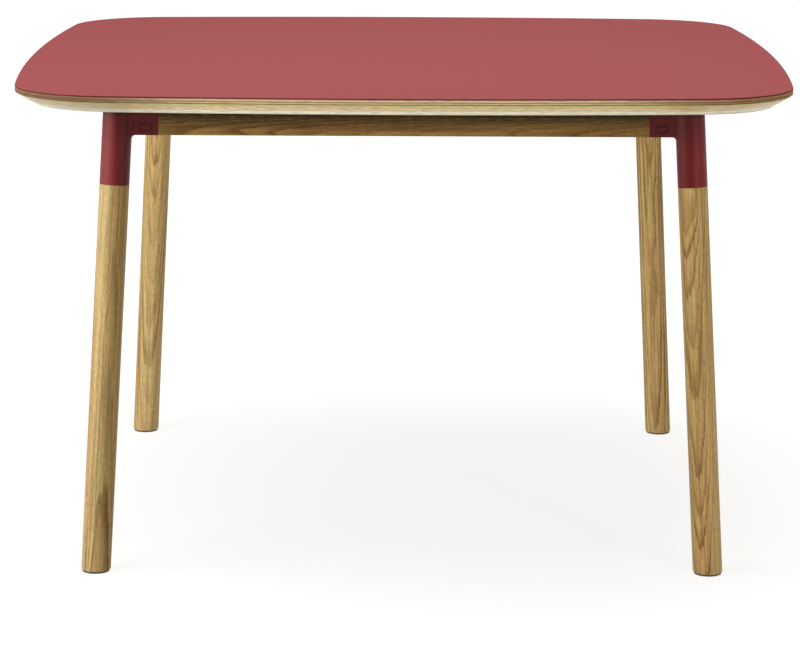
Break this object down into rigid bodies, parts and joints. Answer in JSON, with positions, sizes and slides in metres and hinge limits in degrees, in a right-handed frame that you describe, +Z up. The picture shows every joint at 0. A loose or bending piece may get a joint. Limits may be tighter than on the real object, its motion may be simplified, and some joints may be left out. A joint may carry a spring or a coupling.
{
  "type": "square dining table",
  "caption": "Square dining table with a bevelled plywood top, bowed sides and rounded corners, on leaning round legs held by moulded corner brackets and rails.",
  "frame": {"origin": "on the floor, under the middle of the top", "axes": "+Z up, -Y towards the front of the table, +X to the right seen from the front"},
  "size_m": [1.2, 1.2, 0.744],
  "materials": {
    "surface_sheet": "matte",
    "plywood": "satin lacquer",
    "backing_sheet": "matte",
    "bracket_plastic": "fine satin",
    "oak": "matt lacquer",
    "glide_plastic": "matte",
    "steel": "zinc plated",
    "brass": "plain"
  },
  "bodies": {
    "root": {"top_surface": "surface_sheet", "top_plywood": "plywood", "top_backing": "backing_sheet", "bracket_front_left": "bracket_plastic", "bracket_front_right": "bracket_plastic", "bracket_back_right": "bracket_plastic", "bracket_back_left": "bracket_plastic", "leg_front_left": "oak", "leg_front_right": "oak", "leg_back_right": "oak", "leg_back_left": "oak", "glide_front_left": "glide_plastic", "glide_front_right": "glide_plastic", "glide_back_right": "glide_plastic", "glide_back_left": "glide_plastic", "rail_front": "oak", "rail_right": "oak", "rail_back": "oak", "rail_left": "oak", "cap_front_left_front": "bracket_plastic", "cap_front_left_left": "bracket_plastic", "cap_front_right_right": "bracket_plastic", "cap_front_right_front": "bracket_plastic", "cap_back_right_back": "bracket_plastic", "cap_back_right_right": "bracket_plastic", "cap_back_left_left": "bracket_plastic", "cap_back_left_back": "bracket_plastic", "rail_screws": "steel", "rail_inserts": "brass", "leg_bolts": "steel", "leg_inserts": "brass", "top_screws": "steel", "top_inserts": "brass", "glide_nails": "steel"}
  },
  "joints": []
}
